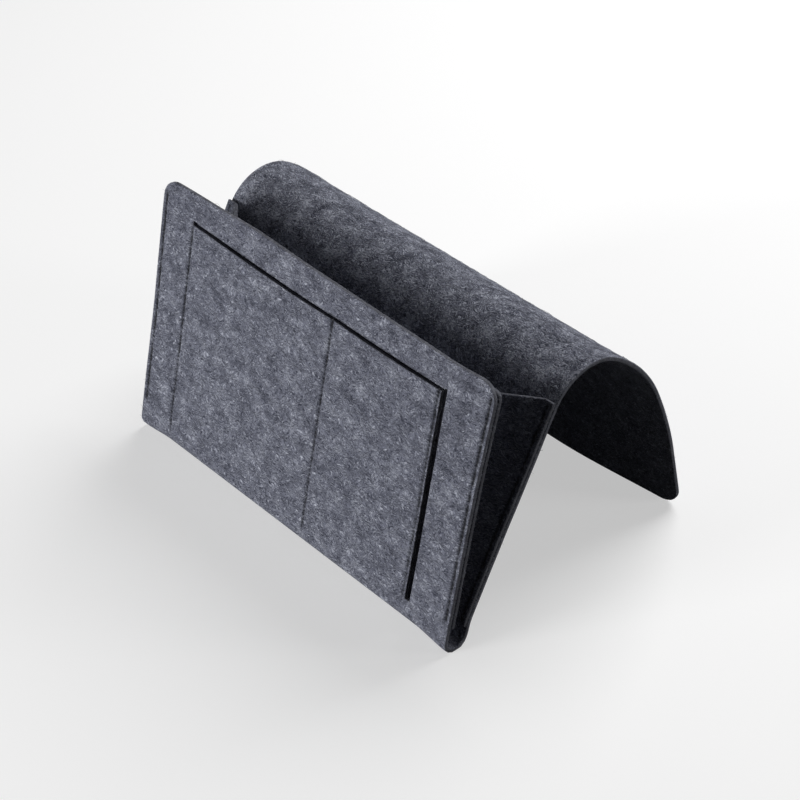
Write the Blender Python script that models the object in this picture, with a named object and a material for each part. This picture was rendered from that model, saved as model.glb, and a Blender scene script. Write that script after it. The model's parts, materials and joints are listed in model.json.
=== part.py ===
"""Felt bedside storage bag.

One long felt sheet makes the front wall, the bottom fold, the back wall, the arch and the flap.
A second sheet sewn behind the front wall closes its two pockets, and two folded gussets close the ends.
The bag is laid out in its sewing frame, with the front wall upright and the line where the gussets'
folds meet as origin, and is then leaned back until the bottom fold and the flap's edge stand on the floor.
"""

import math

import bmesh
import bpy
from mathutils import Matrix, Vector

# Felt, and the gaps between its layers and fold lines
felt_thickness = 0.003
sewn_gap = 0.0003
fold_gap = 0.0006
hinge_gap = 0.0010
cut_overrun = 0.004
weld_distance = 0.000001

# Main sheet
bag_width = 0.320
mouth_angle = math.radians(16.1)
front_wall_height = 0.1966
front_corner_radius = 0.013
bottom_fold_radius = 0.0082
back_wall_height = 0.1736
crest_radius = 0.0354
crest_turn = math.radians(93.0)
shoulder_radius = 0.1075
shoulder_turn = math.radians(34.6)
flap_curve_radius = 0.300
flap_curve_turn = math.radians(11.2)
flap_straight_length = 0.052
flap_corner_radius = 0.016

# Cut in the front wall: a slit that is the pockets' mouth, from the left seam to a cable slot at the right
slit_below_rim = 0.0224
slit_width_at_seams = 0.0012
slit_width_between_seams = 0.0032
slot_right_inset = 0.036
slot_width = 0.0045
slot_foot_height = 0.024

# Seams that divide the pockets, measured from the bag's left end
left_seam_inset = 0.033
middle_seam_inset = 0.178

# Pocket backing
backing_foot_height = 0.0155
backing_top_above_slit = 0.012
backing_beyond_seam = 0.0025

# Gussets
flange_width = 0.007
gusset_half_angle = math.radians(13.5)
gusset_below_rim = 0.0076
gusset_rear_top = 0.1772
gusset_crease_top = 0.1705
gusset_foot_height = 0.0275
flange_foot_slant = 0.004
crease_clearance = 0.0009

# Facets
crest_step = math.radians(7)
shoulder_step = math.radians(4)
flap_curve_step = math.radians(2.8)
bottom_fold_step = math.radians(13)
corner_segments = 6
slit_segments = 8

# Felt as it looks, a dark grey marl
felt_colour = (0.135, 0.140, 0.150, 1.0)
backing_colour = (0.120, 0.125, 0.134, 1.0)
gusset_colour = (0.115, 0.120, 0.128, 1.0)
felt_roughness = 0.95

half_width = bag_width / 2
half_mouth = mouth_angle / 2
slit_height = front_wall_height - slit_below_rim
gusset_front_top = front_wall_height - gusset_below_rim
wall_inner_offset = felt_thickness + sewn_gap
wall_outer_offset = wall_inner_offset + felt_thickness
wall_middle_offset = (wall_inner_offset + wall_outer_offset) / 2
fold_middle_radius = bottom_fold_radius - felt_thickness / 2
fold_centre_distance = (bottom_fold_radius - wall_outer_offset) / math.sin(half_mouth)
wall_foot_height = fold_centre_distance * math.cos(half_mouth)
crease_tilt = math.acos(math.cos(gusset_half_angle) / math.cos(half_mouth))


class Wall:
    """A wall's own frame: up along the wall, inward towards the other wall, from the line where gusset folds meet."""

    def __init__(self, lean, facing):
        self.up = Vector((0, math.sin(lean), math.cos(lean)))
        self.inward = Vector((0, math.cos(lean), -math.sin(lean))) * facing

    def point(self, across, height, inward):
        return Vector((across, 0, 0)) + self.up * height + self.inward * inward


front = Wall(0, 1)
rear = Wall(mouth_angle, -1)


def clear_scene():
    for old in list(bpy.data.objects):
        bpy.data.objects.remove(old, do_unlink=True)


def felt_material(name, colour):
    material = bpy.data.materials.new(name)
    material.use_nodes = True
    shader = material.node_tree.nodes["Principled BSDF"]
    shader.inputs["Base Color"].default_value = colour
    shader.inputs["Roughness"].default_value = felt_roughness
    shader.inputs["Metallic"].default_value = 0
    return material


def add_empty(name, place, parent):
    empty = bpy.data.objects.new(name, None)
    bpy.context.scene.collection.objects.link(empty)
    empty.parent = parent
    empty.location = place
    return empty


def add_piece(name, shape, material, parent):
    """Makes an object of a mesh laid out in the sewing frame, with its origin at its parent's place."""
    bmesh.ops.recalc_face_normals(shape, faces=shape.faces)
    bmesh.ops.translate(shape, verts=shape.verts, vec=-place_in_bag(parent))
    mesh = bpy.data.meshes.new(name)
    shape.to_mesh(mesh)
    shape.free()
    mesh.materials.append(material)
    piece = bpy.data.objects.new(name, mesh)
    bpy.context.scene.collection.objects.link(piece)
    piece.parent = parent
    return piece


def place_in_bag(empty):
    """Where an empty lies in the sewing frame: the sum of the places up to the bag's own empty."""
    place = Vector()
    while empty.parent:
        place += empty.location
        empty = empty.parent
    return place


def rounded_outline(low, high, radius_at):
    """Corners of a rectangle, each with its own radius, anticlockwise from low left."""
    centres = [(low[0], low[1], 1, 1), (high[0], low[1], -1, 1), (high[0], high[1], -1, -1), (low[0], high[1], 1, -1)]
    points = []
    for turn, (across, height, into_across, into_height) in enumerate(centres):
        radius = radius_at[turn]
        if not radius:
            points.append((across, height))
            continue
        start = math.pi + turn * math.pi / 2
        for step in range(corner_segments + 1):
            angle = start + step * math.pi / 2 / corner_segments
            points.append(
                (
                    across + into_across * radius + radius * math.cos(angle),
                    height + into_height * radius + radius * math.sin(angle),
                )
            )
    return points


def plate(outline, near, far, place):
    """A prism of an outline between two depths, with place(across, height, depth) giving each point."""
    shape = bmesh.new()
    ends = [[shape.verts.new(place(across, height, depth)) for across, height in outline] for depth in (near, far)]
    for ring in ends:
        shape.faces.new(ring)
    for first in range(len(outline)):
        second = (first + 1) % len(outline)
        shape.faces.new((ends[0][first], ends[0][second], ends[1][second], ends[1][first]))
    return shape


class Bends:
    """The main sheet's middle line from the front wall's foot to the flap's edge, as straight runs and arcs."""

    def __init__(self):
        self.runs = []
        self.length = 0
        self.place = Vector((0, -wall_middle_offset, wall_foot_height))
        self.heading = -math.pi / 2

    def add(self, length, radius=0, turn=0, step=0):
        """Adds a run. A positive turn bends it left, towards the inside of the bottom fold."""
        self.runs.append((self.length, length, radius, turn, step, self.place.copy(), self.heading))
        end = self.length + length
        self.place, self.heading = self.at(end)
        self.length = end

    def add_arc(self, radius, turn, step):
        self.add(radius * abs(turn), radius, turn, step)

    def at(self, distance):
        run = [each for each in self.runs if each[0] <= distance][-1]
        start, length, radius, turn, _, place, heading = run
        along = distance - start
        if not turn:
            return place + Vector((0, math.cos(heading), math.sin(heading))) * along, heading
        side = math.copysign(1, turn)
        angle = side * along / radius
        centre = place + Vector((0, -math.sin(heading), math.cos(heading))) * radius * side
        away = heading + angle
        return centre - Vector((0, -math.sin(away), math.cos(away))) * radius * side, away

    def point(self, across, distance, offset):
        place, heading = self.at(distance)
        normal = Vector((0, -math.sin(heading), math.cos(heading)))
        return Vector((across, 0, 0)) + place + normal * offset

    def stations(self, low, high):
        """Distances between low and high at which a bent run needs an edge across it."""
        found = []
        for start, length, _, turn, step, _, _ in self.runs:
            count = max(1, round(abs(turn) / step)) if turn else 1
            found += [start + length * index / count for index in range(count)]
        return [each for each in found if low + fold_gap < each < high - fold_gap]


def main_sheet():
    bends = Bends()
    bends.add_arc(fold_middle_radius, math.pi - mouth_angle, bottom_fold_step)
    bends.add(back_wall_height - wall_foot_height)
    bends.crest_start = bends.length
    bends.add_arc(crest_radius, -crest_turn, crest_step)
    bends.shoulder_start = bends.length
    bends.add_arc(shoulder_radius, -shoulder_turn, shoulder_step)
    bends.add_arc(flap_curve_radius, -flap_curve_turn, flap_curve_step)
    bends.flap_straight_start = bends.length
    bends.add(flap_straight_length)
    bends.crest_middle = (bends.crest_start + bends.shoulder_start) / 2
    bends.shoulder_middle = bends.shoulder_start + shoulder_radius * shoulder_turn / 2
    return bends


def bent_strip(bends, low, high, end_radius):
    """A strip of the main sheet between two distances, cut flat, given edges at its bends, and folded."""
    outline = rounded_outline((-half_width, low), (half_width, high), (0, 0, end_radius, end_radius))
    shape = plate(outline, -felt_thickness / 2, felt_thickness / 2, lambda *flat: Vector(flat))
    for station in bends.stations(low, high):
        everything = shape.verts[:] + shape.edges[:] + shape.faces[:]
        bmesh.ops.bisect_plane(shape, geom=everything, plane_co=(0, station, 0), plane_no=(0, 1, 0), dist=weld_distance)
    for corner in shape.verts:
        corner.co = bends.point(*corner.co)
    return shape


def slit_outline():
    """The L-shaped cut: a slit that is tight at the seams and gapes between them, and the slot at its right end."""
    left = -half_width + left_seam_inset
    slot_right = half_width - slot_right_inset
    slot_left = slot_right - slot_width
    middle = -half_width + middle_seam_inset
    gape = slit_width_between_seams - slit_width_at_seams
    top = slit_height + slit_width_at_seams / 2
    lower = []
    for start, end in ((left, middle), (middle, slot_left)):
        for step in range(slit_segments):
            share = step / slit_segments
            depth = slit_width_at_seams / 2 + gape * math.sin(math.pi * share)
            lower.append((start + (end - start) * share, slit_height - depth))
    lower.append((slot_left, slit_height - slit_width_at_seams / 2))
    slot = [(slot_left, slot_foot_height), (slot_right, slot_foot_height), (slot_right, top), (left, top)]
    return lower + slot


def cut_away(piece, outline, near, far, parent):
    """Cuts an outline through a plate that stands along the front wall."""
    shape = plate(outline, near, far, front.point)
    cutter = add_piece(piece.name + "_cutter", shape, piece.data.materials[0], parent)
    cutter.hide_render = True
    cutter.display_type = "WIRE"
    cut = piece.modifiers.new("cut", "BOOLEAN")
    cut.operation = "DIFFERENCE"
    cut.solver = "EXACT"
    cut.object = cutter


def add_front_wall(parent, material):
    outline = rounded_outline(
        (-half_width, wall_foot_height + fold_gap),
        (half_width, front_wall_height),
        (0, 0, front_corner_radius, front_corner_radius),
    )
    wall = add_piece("front_wall", plate(outline, -wall_outer_offset, -wall_inner_offset, front.point), material, parent)
    cut_away(wall, slit_outline(), -wall_outer_offset - cut_overrun, -wall_inner_offset + cut_overrun, parent)


def add_pocket_backing(parent, material):
    left = -half_width + left_seam_inset - backing_beyond_seam
    right = half_width - slot_right_inset - slot_width
    outline = rounded_outline(
        (left, backing_foot_height), (right, slit_height + backing_top_above_slit), (0, 0, 0, 0)
    )
    add_piece("pocket_backing", plate(outline, -felt_thickness, 0, front.point), material, parent)


def add_flange(name, wall, end, top, parent, material):
    """The gusset's edge, turned flush with the wall's edge and sewn to it. Its foot is cut on a slant."""
    inner = half_width - flange_width + fold_gap / 2
    outline = [
        (end * inner, gusset_foot_height),
        (end * half_width, gusset_foot_height - flange_foot_slant),
        (end * half_width, top),
        (end * inner, top),
    ]
    add_piece(name, plate(outline, -felt_thickness, 0, wall.point), material, parent)


def add_gusset_panel(name, wall, end, top, parent, material):
    """Half a gusset: a flat panel from its fold line on the flange to the crease, both through one point."""
    fold = wall.up
    inward_up = wall.up * math.cos(half_mouth) + wall.inward * math.sin(half_mouth)
    crease = inward_up * math.cos(crease_tilt) + Vector((-end, 0, 0)) * math.sin(crease_tilt)
    across = (crease - fold * fold.dot(crease)).normalized()
    outward = across.cross(fold) * end
    if outward.dot(wall.inward) > 0:
        outward.negate()
    apex = Vector((end * (half_width - flange_width), 0, 0))

    def place(sideways, along, depth):
        return apex + across * sideways + fold * along + outward * depth

    tangent = math.tan(gusset_half_angle)
    inset = crease_clearance / math.cos(gusset_half_angle)
    edge = fold_gap / 2
    crease_along = gusset_crease_top * math.cos(gusset_half_angle)
    outline = [
        (edge, gusset_foot_height),
        (gusset_foot_height * tangent - inset, gusset_foot_height),
        (crease_along * tangent - inset, crease_along),
        (edge, top),
    ]
    add_piece(name, plate(outline, 0, felt_thickness, place), material, parent)


def standing_lean(bends):
    """How far the bag leans back to stand on its bottom fold and the flap's lower edge."""
    fold_centre = Vector((0, math.sin(half_mouth), math.cos(half_mouth))) * fold_centre_distance
    lean = 0
    for offset in (-felt_thickness / 2, felt_thickness / 2):
        reach = bends.point(0, bends.length, offset) - fold_centre
        this_lean = math.atan2(reach.z, reach.y) + math.asin(bottom_fold_radius / reach.length)
        lean = this_lean if not lean else min(lean, this_lean)
    return lean, fold_centre


def stand(bag, bends):
    """Leans the bag back, sets it on the floor and centres its box over the origin."""
    lean, fold_centre = standing_lean(bends)
    bag.rotation_euler.x = -lean
    turn = Matrix.Rotation(-lean, 3, "X")
    floor = (turn @ fold_centre).z - bottom_fold_radius
    distances = bends.stations(0, bends.length) + [bends.length]
    depths = [(turn @ bends.point(0, each, side * felt_thickness / 2)).y for each in distances for side in (-1, 1)]
    foremost = min((turn @ fold_centre).y - bottom_fold_radius, min(depths))
    bag.location = (0, -(foremost + max(depths)) / 2, -floor)


def main():
    clear_scene()
    felt = felt_material("main_felt", felt_colour)
    backing_felt = felt_material("backing_felt", backing_colour)
    gusset_felt = felt_material("gusset_felt", gusset_colour)
    bends = main_sheet()
    crest_place = bends.point(0, bends.crest_middle, felt_thickness / 2)
    shoulder_place = bends.point(0, bends.shoulder_middle, felt_thickness / 2)

    bag = add_empty("bag", Vector(), None)
    mouth = add_empty("mouth_hinge", Vector(), bag)
    crest = add_empty("crest_hinge", crest_place, bag)
    shoulder = add_empty("shoulder_hinge", shoulder_place - crest_place, crest)

    back_shape = bent_strip(bends, 0, bends.crest_middle - hinge_gap / 2, 0)
    add_piece("back_wall", back_shape, felt, bag)
    arch_shape = bent_strip(bends, bends.crest_middle + hinge_gap / 2, bends.shoulder_middle - hinge_gap / 2, 0)
    add_piece("arch", arch_shape, felt, crest)
    flap_shape = bent_strip(bends, bends.shoulder_middle + hinge_gap / 2, bends.length, flap_corner_radius)
    add_piece("flap", flap_shape, felt, shoulder)
    add_front_wall(mouth, felt)
    add_pocket_backing(mouth, backing_felt)

    for end, side in ((-1, "left"), (1, "right")):
        apex = Vector((end * (half_width - flange_width), 0, 0))
        for wall, where, top, carrier in (
            (front, "front", gusset_front_top, mouth),
            (rear, "rear", gusset_rear_top, bag),
        ):
            name = side + "_gusset_" + where
            hinge = add_empty(name + "_hinge", apex, carrier)
            add_flange(name + "_flange", wall, end, top, carrier, gusset_felt)
            add_gusset_panel(name + "_panel", wall, end, top, hinge, gusset_felt)
    stand(bag, bends)


if __name__ == "__main__":
    main()
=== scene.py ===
"""Felt bedside storage bag: the sewn felt, its seams, loose fibres and stage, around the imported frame."""

import json
import math

import bmesh
import bpy
import numpy as np
from mathutils import Matrix, Vector, noise
from mathutils.geometry import delaunay_2d_cdt


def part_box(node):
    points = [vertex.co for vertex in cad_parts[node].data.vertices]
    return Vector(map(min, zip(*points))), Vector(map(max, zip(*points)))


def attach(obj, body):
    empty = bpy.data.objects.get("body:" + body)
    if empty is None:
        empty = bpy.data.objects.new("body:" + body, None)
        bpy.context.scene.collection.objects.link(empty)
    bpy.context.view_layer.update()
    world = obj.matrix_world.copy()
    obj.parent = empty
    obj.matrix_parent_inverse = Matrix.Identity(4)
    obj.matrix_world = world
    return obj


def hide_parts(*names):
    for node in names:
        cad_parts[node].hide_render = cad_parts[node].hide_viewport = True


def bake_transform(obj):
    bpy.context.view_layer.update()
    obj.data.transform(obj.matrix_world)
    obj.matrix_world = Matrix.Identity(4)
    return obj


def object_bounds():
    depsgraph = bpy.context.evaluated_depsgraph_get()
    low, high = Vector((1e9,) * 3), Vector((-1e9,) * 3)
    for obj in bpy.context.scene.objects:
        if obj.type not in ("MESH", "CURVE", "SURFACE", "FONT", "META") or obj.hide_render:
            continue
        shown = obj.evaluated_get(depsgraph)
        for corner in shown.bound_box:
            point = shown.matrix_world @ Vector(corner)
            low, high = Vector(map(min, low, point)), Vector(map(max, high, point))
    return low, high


bl_info = {
    "name": "Felt Storage Bag",
    "version": (1, 0, 0),
    "blender": (4, 5, 0),
    "location": "3D View > Sidebar > Felt Bag",
    "description": "Builds the felt, seams and loose fibres of a bedside storage bag around its frame",
    "category": "Object",
}

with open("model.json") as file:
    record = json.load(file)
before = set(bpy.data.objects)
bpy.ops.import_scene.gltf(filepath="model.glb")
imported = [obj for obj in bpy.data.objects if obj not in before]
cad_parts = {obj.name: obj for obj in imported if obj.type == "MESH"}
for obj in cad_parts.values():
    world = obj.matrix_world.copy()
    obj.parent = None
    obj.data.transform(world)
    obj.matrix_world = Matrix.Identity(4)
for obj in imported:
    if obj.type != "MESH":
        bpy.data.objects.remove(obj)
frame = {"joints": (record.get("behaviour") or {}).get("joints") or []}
cad_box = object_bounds()


def joint(name):
    return next(each for each in frame["joints"] if each["name"] == name)


def box_size(node):
    low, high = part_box(node)
    return high - low


# The sewing frame: the front wall upright, and the line where the gussets' folds meet as origin
fold_meeting = Vector(joint("mouth_opening")["pos_m"])
front_up = Vector(joint("left_front_fold")["axis"]).normalized()
rear_up = Vector(joint("left_rear_fold")["axis"]).normalized()
bag_right = Vector((1, 0, 0))
front_inward = front_up.cross(bag_right)
rear_inward = bag_right.cross(rear_up)
mouth_angle = front_up.angle(rear_up)
half_mouth = mouth_angle / 2
gusset_fold_across = abs(joint("right_front_fold")["pos_m"][0])
bag_width = box_size("back_wall").x
half_width = bag_width / 2
sewing_frame = Matrix((bag_right, front_inward, front_up)).transposed().to_4x4()
sewing_frame.translation = fold_meeting


# Points nearer to each other than this are one
same_place = 1e-7


def number(name, description, default, **kind):
    return bpy.props.FloatProperty(name=name, description=description, default=default, **kind)


def length(name, description, default):
    return number(name, description, default, unit="LENGTH", precision=5)


def turn(name, description, degrees):
    return number(name, description, math.radians(degrees), subtype="ANGLE")


def power(name, description, default):
    return number(name, description, default, unit="POWER")


def numbers(name, description, default, **kind):
    return bpy.props.FloatVectorProperty(
        name=name, description=description, default=default, size=len(default), **kind
    )


def colour(name, description, default):
    return numbers(name, description, default, min=0, max=1, subtype="COLOR")


def lengths(name, description, default):
    return numbers(name, description, default, unit="LENGTH")


class SheetSizes(bpy.types.PropertyGroup):
    """Sizes of the felt and of the main sheet's bends."""

    felt: length("Felt thickness", "Thickness of every felt piece", 0.003)
    layer_gap: length("Layer gap", "Gap between two sewn layers", 0.0003)
    cut_rounding: length("Cut rounding", "Rounding of the arris along a cut edge", 0.0007)
    fold_radius: length("Bottom fold radius", "Outer radius of the fold under the bag", 0.0082)
    front_height: length("Front wall height", "From where the gusset folds meet to the rim", 0.1966)
    back_height: length("Back wall height", "From where the gusset folds meet to the crest", 0.1736)
    rim_corner: length("Rim corner radius", "Radius of the front wall's two corners", 0.013)
    rim_slant: length("Rim slant", "How much lower the rim is cut at the bag's right end", 0.0032)
    rim_crown: length("Rim crown", "How far the rim rises at the left of its middle", 0.0013)
    crest_radius: length("Crest radius", "Middle radius of the arch's crest", 0.0354)
    crest_turn: turn("Crest turn", "Turn of the arch's crest", 93.0)
    shoulder_radius: length("Shoulder radius", "Middle radius of the arch's shoulder", 0.1075)
    shoulder_turn: turn("Shoulder turn", "Turn of the arch's shoulder", 34.6)
    flap_radius: length("Flap radius", "Radius of the flap's slight curve", 0.300)
    flap_turn: turn("Flap turn", "Turn of the flap's slight curve", 11.2)
    flap_straight: length("Flap straight", "Straight end of the flap", 0.052)
    flap_corner: length("Flap corner radius", "Radius of the flap's two corners", 0.016)
    flap_droop: length("Flap droop", "How far the flap's lower left edge hangs in", 0.0085)
    flap_tuck: length("Flap tuck", "How much shorter that edge hangs, so that it clears the floor", 0.0018)
    crest_sag: length("Crest sag", "How far the arch sags between its ends", 0.0018)
    fold_lift: length("Fold lift", "How far the bottom fold is drawn up between its ends", 0.0018)
    stands_at: length("Stands at", "Height at which the felt is pressed flat where it stands", 0.00005)
    fold_slack: length("Fold slack", "How far the bottom fold bulges to the rear", 0.0007)
    fold_flare: length("Fold flare", "Further bulge at the fold's cut ends", 0.0018)
    right_lean: length("Right corner lean", "How far the front wall's right corner leans in", 0.0032)
    left_lean: length("Left corner lean", "How far the front wall's left corner leans in", -0.0010)
    sway_height: length("Sway height", "Height of the felt's slow waves", 0.0005)
    sway_period: length("Sway period", "Length of the felt's slow waves", 0.055)
    pocket_bow: length("Pocket bow", "How far a pocket's edge bows out between its seams", 0.0004)
    spacing: length("Mesh spacing", "Distance between the points of a felt face", 0.0028)


class PocketSizes(bpy.types.PropertyGroup):
    """Sizes of the cut in the front wall, the pockets behind it and their seams."""

    slit_below_rim: length("Slit below rim", "Distance of the pockets' mouth from the rim", 0.0224)
    slit_at_seams: length("Slit at seams", "Width of the slit beside a seam", 0.0032)
    slit_between: length("Slit between seams", "Width of the slit midway between two seams", 0.0038)
    slit_rise: length("Slit rise", "How much higher the slit runs at its left end than at its right", 0.0024)
    slot_inset: length("Slot inset", "Distance of the cable slot from the bag's right end", 0.036)
    slot_width: length("Slot width", "Width of the cable slot", 0.0045)
    slot_foot: length("Slot foot", "Height of the cable slot's lower end", 0.024)
    left_seam: length("Left seam", "Distance of the left pocket seam from the bag's left end", 0.033)
    middle_seam: length("Middle seam", "Distance of the middle pocket seam from the bag's left end", 0.178)
    slot_seam_gap: length("Slot seam gap", "Distance of the slot's seam from the slot", 0.0024)
    seam_foot: length("Seam foot", "Height of the pocket seams' lower ends", 0.0185)
    backing_foot: length("Backing foot", "Height of the pocket backing's lower edge", 0.0155)
    backing_above_slit: length("Backing above slit", "How far the backing reaches above the slit", 0.012)
    backing_beyond_seam: length("Backing beyond seam", "How far the backing passes the left seam", 0.0025)


class GussetSizes(bpy.types.PropertyGroup):
    """Sizes of the folded gussets at the bag's ends."""

    half_angle: turn("Half angle", "Angle of a gusset's half at the point where its folds meet", 13.5)
    flange: length("Flange width", "Width of the edge sewn to a wall", half_width - gusset_fold_across)
    front_below_rim: length("Front top below rim", "Distance of the front flange's top from the rim", 0.0076)
    rear_top: length("Rear top", "Height of the rear flange's top", 0.1772)
    crease_top: length("Crease top", "Length of the crease from where the folds meet", 0.1705)
    foot: length("Foot", "Height of a gusset's foot", 0.0275)
    foot_slant: length("Foot slant", "Slant of a flange's foot", 0.004)
    flange_corner: length("Flange corner", "Radius of a front flange's upper corner", 0.0055)
    fold_rounding: length("Fold rounding", "Inner radius of the fold beside a flange", 0.0008)
    edge_seam: length("Edge seam", "Distance of the edge seams from the bag's end", 0.0035)


class SeamSizes(bpy.types.PropertyGroup):
    """Sizes of the stitches and of the groove that they pull into the felt."""

    stitch: length("Stitch length", "Distance between two needle holes", 0.0031)
    thread: length("Thread radius", "Radius of the thread", 0.00025)
    groove_depth: length("Groove depth", "Depth that a seam pulls into the felt", 0.0008)
    groove_width: length("Groove width", "Half width of that groove", 0.0012)
    pocket_pull: number("Pocket pull", "Pull of the pocket seams, as a share of the groove's depth", 0.75)
    unevenness: number("Unevenness", "How unevenly a seam pulls from stitch to stitch", 1.1)
    hole_depth: length("Hole depth", "Further depth at a needle hole", 0.0005)
    hole_radius: length("Hole radius", "Reach of a needle hole's dimple", 0.0007)
    # Groove shade is partly painted shade: it darkens the felt in a seam's groove, partly for the darker
    # pressed felt and partly for the shadow that falls in the groove.
    shade: number("Groove shade", "How much darker the felt is at the bottom of a groove", 0.92)
    colour: colour("Thread colour", "Colour of the sewing thread", (0.010, 0.011, 0.016))


class FibreSizes(bpy.types.PropertyGroup):
    """Sizes of the loose fibres that lie on the felt."""

    span: length("Span", "Length of a loose fibre", 0.0052)
    radius: length("Radius", "Radius of a loose fibre", 0.00005)
    lift: length("Lift", "Height of a fibre's middle above the felt", 0.00022)
    density: number("Density", "Fibres per square metre of felt", 26000)
    edge_gap: length("Edge gap", "Distance that the fibres keep from a cut edge", 0.0022)
    floor_gap: length("Floor gap", "Height over the floor below which there are no loose fibres", 0.0075)
    arch_growth: number("Arch growth", "How much longer and thicker fibres on arch and flap are", 1.35)
    colour: colour("Colour", "Colour of the pale loose fibres", (0.33, 0.35, 0.42))


class FeltColours(bpy.types.PropertyGroup):
    """Colours of the marl felt."""

    dark: colour("Dark wool", "Darkest fibres of the marl", (0.040, 0.043, 0.060))
    middle: colour("Middle wool", "Main colour of the marl", (0.150, 0.157, 0.200))
    pale: colour("Pale wool", "Palest fibres of the marl", (0.440, 0.460, 0.530))
    cut: colour("Cut edge", "Colour of a cut edge, where fibres show on end", (0.124, 0.126, 0.142))
    fibre_width: length("Fibre width", "Width of a tuft of fibres", 0.0008)
    fibre_stretch: number("Fibre stretch", "How many times longer than wide a tuft is", 4.0)
    curl: length("Curl", "How far the tufts wander from straight lines", 0.0045)
    cloud: length("Cloud size", "Size of the lighter and darker clouds in the marl", 0.012)
    relief: length("Relief", "Height of the felt's fine relief", 0.00036)
    tuft_weight: number("Tuft weight", "Weight of the tufts in the marl", 0.55)
    fine_weight: number("Fine weight", "Weight of the finest grain in the marl", 0.75)
    cloud_weight: number("Cloud weight", "Weight of the clouds in the marl", 0.95)
    cut_share: number("Cut share", "How much of a cut edge shows the cut fibres' colour", 0.70)
    # Colour of the groove's bottom: partly darker pressed felt, partly painted shade for the shadow in the
    # groove.
    groove_compression_and_shade_tone: number("Groove tone", "Shade of a groove's bottom, as a share of the darkest wool", 0.2)
    # Painted light and shade: the bolder marl on the inner face, which shows on the arch, stands in for the
    # felt's relief lit at a grazing angle.
    inner_painted_relief_shade: number("Inner boldness", "How much bolder the marl is on the sheet's inner face", 0.40)


class StageSizes(bpy.types.PropertyGroup):
    """Camera, lamps and floor."""

    camera_place: lengths("Camera place", "Where the camera stands", (0.9034, -0.7529, 0.9473))
    camera_azimuth: turn("Camera azimuth", "Turn of the camera about the vertical", 50.26)
    camera_elevation: turn("Camera elevation", "Height of the camera's view above the horizon", 37.16)
    camera_roll: turn("Camera roll", "Roll of the camera about its own line of sight", -2.2)
    lens: number("Lens", "Focal length on a 36 mm sensor", 98.67, unit="CAMERA")
    front_power: power("Front power", "Power of the low lamp in front", 50.5)
    front_place: lengths("Front place", "Where that lamp stands", (-0.57, -2.13, 0.31))
    front_sides: lengths("Front sides", "Width and height of that lamp", (0.7, 0.5))
    top_power: power("Top power", "Power of the lamp above and behind", 29)
    top_place: lengths("Top place", "Where that lamp stands", (-0.15, 1.1, 1.4))
    top_sides: lengths("Top sides", "Width and height of that lamp", (1.3, 1.1))
    side_power: power("Side power", "Power of the low lamp at the right and behind", 13)
    side_place: lengths("Side place", "Where that lamp stands", (1.6, 1.2, 0.3))
    side_sides: lengths("Side sides", "Width and height of that lamp", (0.5, 0.4))
    sky: number("Sky strength", "Strength of the even light from all round", 0.03)
    floor_size: length("Floor size", "Side of the square floor", 30.0)


property_groups = {
    "sheet": SheetSizes,
    "pocket": PocketSizes,
    "gusset": GussetSizes,
    "seam": SeamSizes,
    "fibre": FibreSizes,
    "felt": FeltColours,
    "stage": StageSizes,
}


def sizes(name):
    return getattr(bpy.context.scene, "felt_bag_" + name)


def to_world(points):
    """Sewing frame to world, for an array of points."""
    matrix = np.array(sewing_frame)
    return points @ matrix[:3, :3].T + matrix[:3, 3]


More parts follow.
